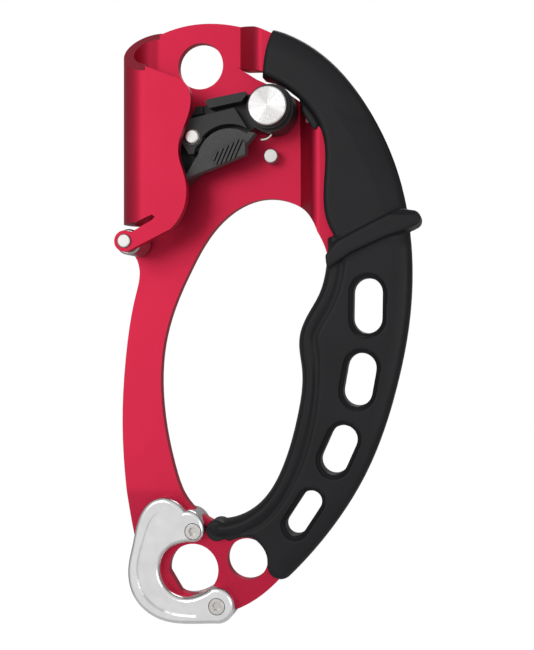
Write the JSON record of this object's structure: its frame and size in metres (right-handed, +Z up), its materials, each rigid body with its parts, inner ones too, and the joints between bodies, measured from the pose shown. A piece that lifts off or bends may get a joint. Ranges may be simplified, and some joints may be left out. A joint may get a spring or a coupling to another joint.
{
  "type": "ascender",
  "caption": "Right-hand handled rope ascender: folded sheet body with rope channel, sprung toothed cam, thumb catch, roller, rubber grip and bolted steel shackle.",
  "frame": {"origin": "centre of the top carabiner hole, half way through the sheet", "axes": "+Z up along the rope, +X from the rope channel to the handle, +Y from the front to the back"},
  "size_m": [0.105, 0.0234, 0.2095],
  "materials": {
    "red_anodised": "satin red anodised sheet with a fine grain",
    "grip_rubber": "satin black moulded rubber",
    "black_cam": "black coated steel casting",
    "black_cover": "black coated plate",
    "black_catch": "black plastic with a fine rough texture",
    "turned_steel": "turned stainless steel face",
    "polished_chrome": "polished forged steel",
    "bright_screw": "bright screw steel",
    "stainless": "stainless pins, rings, washers and roller",
    "bronze": "bearing bronze",
    "spring_wire": "spring wire"
  },
  "bodies": {
    "body": {"body_plate": "red_anodised", "grip": "grip_rubber", "cam_washer": "stainless", "cam_axle": "turned_steel", "axle_ring": "stainless", "stop_stud": "stainless", "stud_ring": "stainless", "roller_axle": "stainless", "roller_axle_ring": "stainless", "roller_washer_front": "stainless", "roller_washer_rear": "stainless", "shackle": "polished_chrome", "upper_bolt": "bright_screw", "lower_bolt": "bright_screw", "upper_nut": "bright_screw", "lower_nut": "bright_screw"},
    "cam": {"cam": "black_cam", "cam_cover": "black_cover", "cam_bushing": "bronze", "cam_spring": "spring_wire", "catch_rivet": "stainless", "catch_washer": "stainless", "catch_spring": "spring_wire"},
    "catch": {"catch": "black_catch"},
    "roller": {"roller": "stainless", "roller_bushing": "bronze"}
  },
  "joints": [
    {"name": "cam_pivot", "type": "hinge", "parent": "body", "child": "cam", "pos_m": [0.027, -0.00875, -0.0179], "axis": [0, -1, 0], "range_deg": [0, 36], "stiffness_Nm_per_rad": 0.06, "springref_deg": -34.38, "deforming": ["cam_spring"]},
    {"name": "catch_pivot", "type": "hinge", "parent": "cam", "child": "catch", "pos_m": [0.0004, -0.00875, -0.0272], "axis": [0, 1, 0], "range_deg": [0, 10], "stiffness_Nm_per_rad": 0.02, "springref_deg": -22.92, "deforming": ["catch_spring"]},
    {"name": "roller_spin", "type": "hinge", "parent": "body", "child": "roller", "pos_m": [-0.0224, -0.00875, -0.0629], "axis": [0, 1, 0], "continuous": true}
  ]
}
